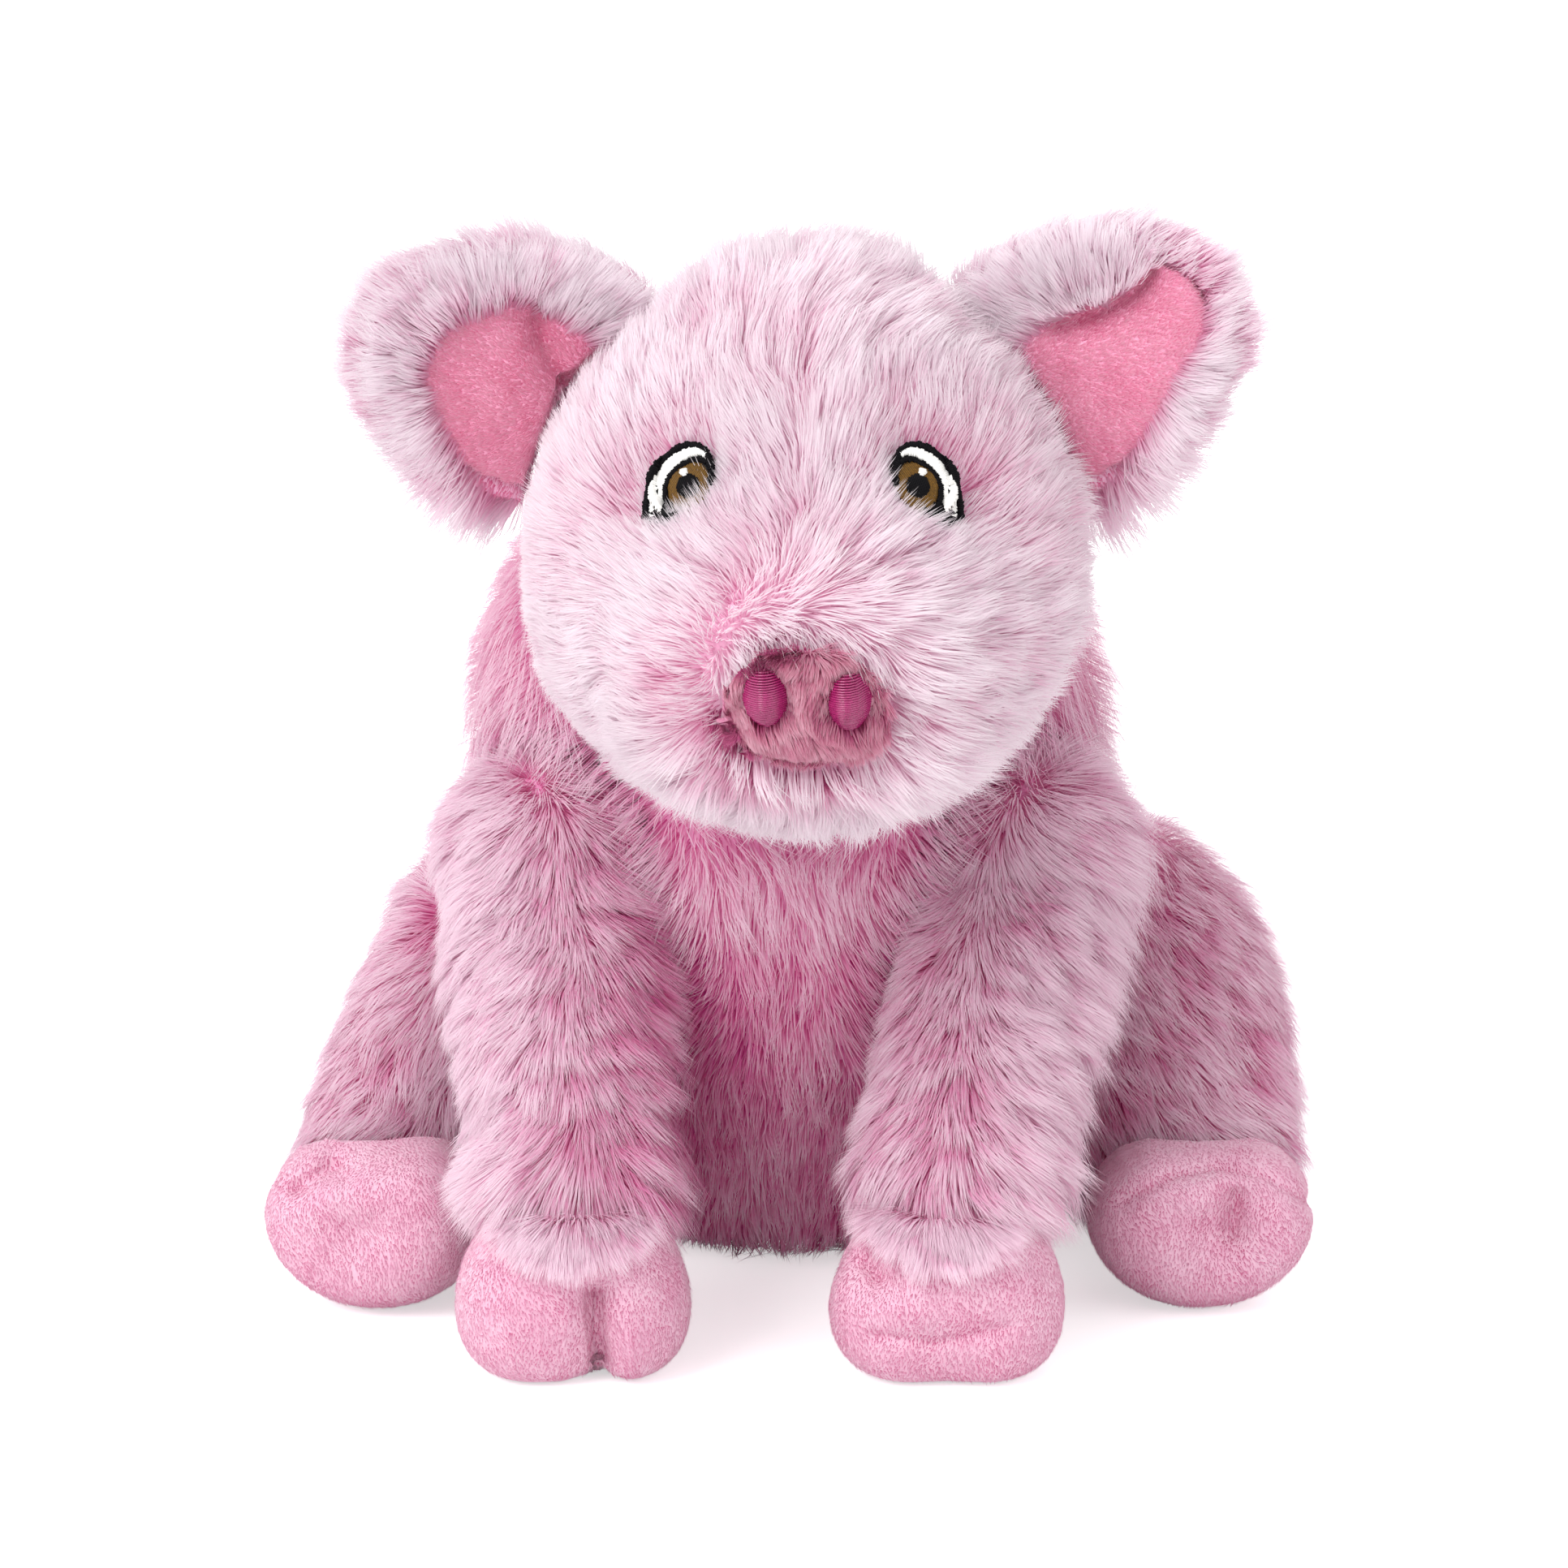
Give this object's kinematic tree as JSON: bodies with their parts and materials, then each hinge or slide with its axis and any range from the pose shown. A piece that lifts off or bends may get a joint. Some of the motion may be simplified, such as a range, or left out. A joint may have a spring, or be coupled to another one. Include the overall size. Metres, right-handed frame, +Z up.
{
  "type": "plush pig",
  "caption": "Sitting plush pig with long pile fur, smooth hooves and ear linings, stitched eyes and nostrils, and a head, ears, legs and tail that move at their seams.",
  "frame": {"origin": "middle of the flat seat under the rump, on the plane that halves the torso", "axes": "+Z up, -Y the way the pig faces, +X towards the pig's own left"},
  "size_m": [0.2081, 0.2392, 0.2166],
  "materials": {
    "pink_pile": "long frosted pile",
    "pale_short_plush": "short plush",
    "rose_short_plush": "short plush",
    "pink_woven_lining": "woven lining cloth",
    "undyed_cotton": "plain cotton",
    "magenta_satin_thread": "satin stitch",
    "black_satin_thread": "satin stitch",
    "white_satin_thread": "satin stitch",
    "brown_satin_thread": "satin stitch"
  },
  "bodies": {
    "torso": {"torso": "pink_pile", "seat_panel": "pink_woven_lining", "pellet_pouch": "undyed_cotton"},
    "head": {"head": "pink_pile", "snout_panel": "pale_short_plush", "nostril_left": "magenta_satin_thread", "eye_outline_left": "black_satin_thread", "eye_white_left": "white_satin_thread", "eye_iris_left": "brown_satin_thread", "eye_pupil_left": "black_satin_thread", "eye_glint_left": "white_satin_thread", "nostril_right": "magenta_satin_thread", "eye_outline_right": "black_satin_thread", "eye_white_right": "white_satin_thread", "eye_iris_right": "brown_satin_thread", "eye_pupil_right": "black_satin_thread", "eye_glint_right": "white_satin_thread"},
    "ear_left": {"ear_back_left": "pink_pile", "ear_lining_left": "rose_short_plush"},
    "front_leg_left": {"front_leg_left": "pink_pile", "front_hoof_left": "pale_short_plush"},
    "hind_leg_left": {"hind_leg_left": "pink_pile", "hind_hoof_left": "pale_short_plush"},
    "ear_right": {"ear_back_right": "pink_pile", "ear_lining_right": "rose_short_plush"},
    "front_leg_right": {"front_leg_right": "pink_pile", "front_hoof_right": "pale_short_plush"},
    "hind_leg_right": {"hind_leg_right": "pink_pile", "hind_hoof_right": "pale_short_plush"},
    "tail": {"tail": "pale_short_plush"}
  },
  "joints": [
    {"name": "neck_nod", "type": "hinge", "parent": "torso", "child": "head", "pos_m": [0.0025, -0.086, 0.159], "axis": [-1, 0, 0], "range_deg": [-8, 12]},
    {"name": "ear_flop_left", "type": "hinge", "parent": "head", "child": "ear_left", "pos_m": [0.0425, -0.084, 0.184], "axis": [-0.4851, 0.121, 0.866], "range_deg": [-12, 12], "stiffness_Nm_per_rad": 0.03},
    {"name": "ear_flop_right", "type": "hinge", "parent": "head", "child": "ear_right", "pos_m": [-0.0375, -0.084, 0.184], "axis": [-0.3319, -0.0827, -0.9397], "range_deg": [-12, 12], "stiffness_Nm_per_rad": 0.03},
    {"name": "shoulder_swing_left", "type": "hinge", "parent": "torso", "child": "front_leg_left", "pos_m": [0.046, -0.061, 0.091], "axis": [-1, 0, 0], "range_deg": [-5, 15]},
    {"name": "shoulder_swing_right", "type": "hinge", "parent": "torso", "child": "front_leg_right", "pos_m": [-0.046, -0.061, 0.091], "axis": [-1, 0, 0], "range_deg": [-5, 15]},
    {"name": "hip_swing_left", "type": "hinge", "parent": "torso", "child": "hind_leg_left", "pos_m": [0.048, -0.018, 0.05], "axis": [-0.9659, 0, 0.2588], "range_deg": [-2, 16]},
    {"name": "hip_swing_right", "type": "hinge", "parent": "torso", "child": "hind_leg_right", "pos_m": [-0.048, -0.018, 0.05], "axis": [-0.9659, 0, -0.2588], "range_deg": [-2, 16]},
    {"name": "tail_wag", "type": "hinge", "parent": "torso", "child": "tail", "pos_m": [0, 0.04842, 0.047], "axis": [0, 0, 1], "range_deg": [-18, 18], "stiffness_Nm_per_rad": 0.01}
  ]
}
